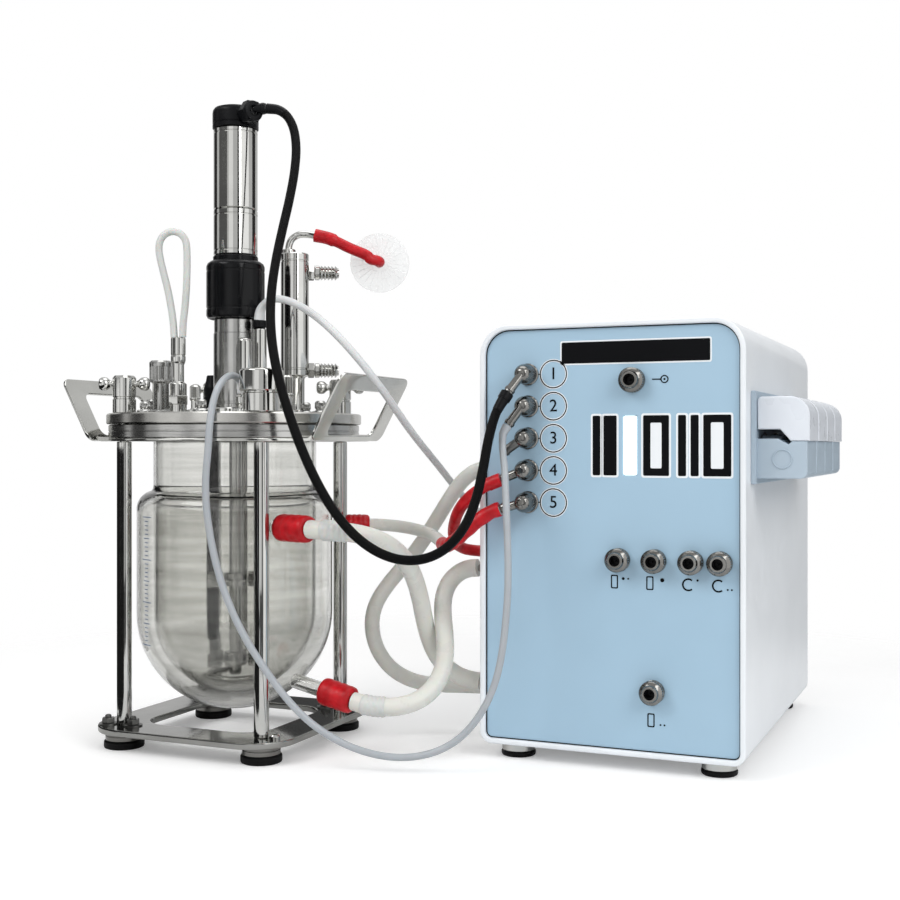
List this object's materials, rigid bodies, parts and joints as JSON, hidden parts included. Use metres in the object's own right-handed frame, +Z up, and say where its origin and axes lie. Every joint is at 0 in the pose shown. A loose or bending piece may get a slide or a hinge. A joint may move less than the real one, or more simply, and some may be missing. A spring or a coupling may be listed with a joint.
{
  "type": "bench bioreactor",
  "caption": "Bench bioreactor: jacketed glass vessel in a rod stand with stirrer drive and head-plate ports, cabled and piped to a control unit with side pumps.",
  "frame": {"origin": "bottom centre of the box round everything but the cords and hoses, on the bench top", "axes": "+Z up, +Y from the control unit's front panel to its back, +X from the vessel to the control unit"},
  "size_m": [0.702, 0.5191, 0.6217],
  "materials": {
    "satin_steel": "satin brushed stainless steel",
    "polished_steel": "bright turned stainless steel",
    "glass": "clear borosilicate glass",
    "black_rubber": "matte black rubber",
    "black_plastic": "satin black plastic",
    "white_shell": "satin white powder coat",
    "blue_panel": "satin light blue film",
    "white_cover": "satin white plastic",
    "grey_pump": "satin blue-grey plastic",
    "status_light": "lit white diffuser",
    "red_silicone": "satin red silicone",
    "clear_hose": "translucent silicone hose",
    "black_cable": "black braided cable sleeve",
    "pale_cable": "pale grey cable sheath",
    "filter_clear": "clear plastic filter disc"
  },
  "bodies": {
    "stand_and_unit": {"base_plate": "satin_steel", "lift_ring": "satin_steel", "flange_ring": "satin_steel", "glass_vessel": "glass", "lid_gasket": "black_rubber", "head_plate": "satin_steel", "bearing_hub": "satin_steel", "coupling_sleeve": "black_plastic", "gearbox": "polished_steel", "motor": "polished_steel", "motor_cap": "black_plastic", "motor_plug": "black_plastic", "sparger": "satin_steel", "dip_probe": "black_plastic", "condenser": "polished_steel", "vent_tube": "polished_steel", "vent_sleeve": "red_silicone", "vent_filter": "filter_clear", "side_port_cap": "satin_steel", "sample_port": "satin_steel", "collar_upper": "red_silicone", "collar_lower": "red_silicone", "collar_rear": "red_silicone", "controller_housing": "white_shell", "front_panel": "blue_panel", "status_bar": "status_light", "pump_block": "grey_pump", "motor_cable": "black_cable", "sensor_cable": "pale_cable", "probe_cable": "pale_cable", "sample_loop": "clear_hose", "hose_upper": "clear_hose", "hose_lower": "clear_hose", "hose_loop": "clear_hose", "hose_rear": "clear_hose", "red_tube": "red_silicone", "stand_foot_front_left": "black_rubber", "stand_rod_front_left": "polished_steel", "stand_foot_front_right": "black_rubber", "stand_rod_front_right": "polished_steel", "stand_foot_rear_left": "black_rubber", "stand_rod_rear_left": "polished_steel", "stand_foot_rear_right": "black_rubber", "stand_rod_rear_right": "polished_steel"},
    "stirrer": {"stirrer_shaft": "satin_steel", "impeller_lower": "satin_steel", "impeller_upper": "satin_steel"},
    "clamp_nut_front_left": {"clamp_nut_front_left": "polished_steel"},
    "clamp_nut_front_right": {"clamp_nut_front_right": "polished_steel"},
    "clamp_nut_rear_left": {"clamp_nut_rear_left": "polished_steel"},
    "clamp_nut_rear_right": {"clamp_nut_rear_right": "polished_steel"},
    "pump_cover_1": {"pump_cover_1": "white_cover"},
    "pump_rotor_1": {"pump_rotor_1": "black_plastic"},
    "pump_cover_2": {"pump_cover_2": "white_cover"},
    "pump_rotor_2": {"pump_rotor_2": "black_plastic"},
    "pump_cover_3": {"pump_cover_3": "white_cover"},
    "pump_rotor_3": {"pump_rotor_3": "black_plastic"},
    "pump_cover_4": {"pump_cover_4": "white_cover"},
    "pump_rotor_4": {"pump_rotor_4": "black_plastic"}
  },
  "joints": [
    {"name": "stirrer_spin", "type": "hinge", "parent": "stand_and_unit", "child": "stirrer", "pos_m": [-0.194, -0.13275, 0.3], "axis": [0, 0, 1], "continuous": true},
    {"name": "nut_turn_front_left", "type": "hinge", "parent": "stand_and_unit", "child": "clamp_nut_front_left", "pos_m": [-0.27, -0.20875, 0.33], "axis": [0, 0, 1], "continuous": true},
    {"name": "nut_turn_front_right", "type": "hinge", "parent": "stand_and_unit", "child": "clamp_nut_front_right", "pos_m": [-0.118, -0.20875, 0.33], "axis": [0, 0, 1], "continuous": true},
    {"name": "nut_turn_rear_left", "type": "hinge", "parent": "stand_and_unit", "child": "clamp_nut_rear_left", "pos_m": [-0.27, -0.05675, 0.33], "axis": [0, 0, 1], "continuous": true},
    {"name": "nut_turn_rear_right", "type": "hinge", "parent": "stand_and_unit", "child": "clamp_nut_rear_right", "pos_m": [-0.118, -0.05675, 0.33], "axis": [0, 0, 1], "continuous": true},
    {"name": "cover_flip_1", "type": "hinge", "parent": "stand_and_unit", "child": "pump_cover_1", "pos_m": [0.311, -0.06075, 0.3255], "axis": [0, -1, 0], "range_deg": [0, 85]},
    {"name": "rotor_spin_1", "type": "hinge", "parent": "stand_and_unit", "child": "pump_rotor_1", "pos_m": [0.3163, -0.06075, 0.287], "axis": [1, 0, 0], "continuous": true},
    {"name": "cover_flip_2", "type": "hinge", "parent": "stand_and_unit", "child": "pump_cover_2", "pos_m": [0.311, -0.00175, 0.3255], "axis": [0, -1, 0], "range_deg": [0, 85]},
    {"name": "rotor_spin_2", "type": "hinge", "parent": "stand_and_unit", "child": "pump_rotor_2", "pos_m": [0.3163, -0.00175, 0.287], "axis": [1, 0, 0], "continuous": true},
    {"name": "cover_flip_3", "type": "hinge", "parent": "stand_and_unit", "child": "pump_cover_3", "pos_m": [0.311, 0.05725, 0.3255], "axis": [0, -1, 0], "range_deg": [0, 85]},
    {"name": "rotor_spin_3", "type": "hinge", "parent": "stand_and_unit", "child": "pump_rotor_3", "pos_m": [0.3163, 0.05725, 0.287], "axis": [1, 0, 0], "continuous": true},
    {"name": "cover_flip_4", "type": "hinge", "parent": "stand_and_unit", "child": "pump_cover_4", "pos_m": [0.311, 0.11625, 0.3255], "axis": [0, -1, 0], "range_deg": [0, 85]},
    {"name": "rotor_spin_4", "type": "hinge", "parent": "stand_and_unit", "child": "pump_rotor_4", "pos_m": [0.3163, 0.11625, 0.287], "axis": [1, 0, 0], "continuous": true}
  ]
}
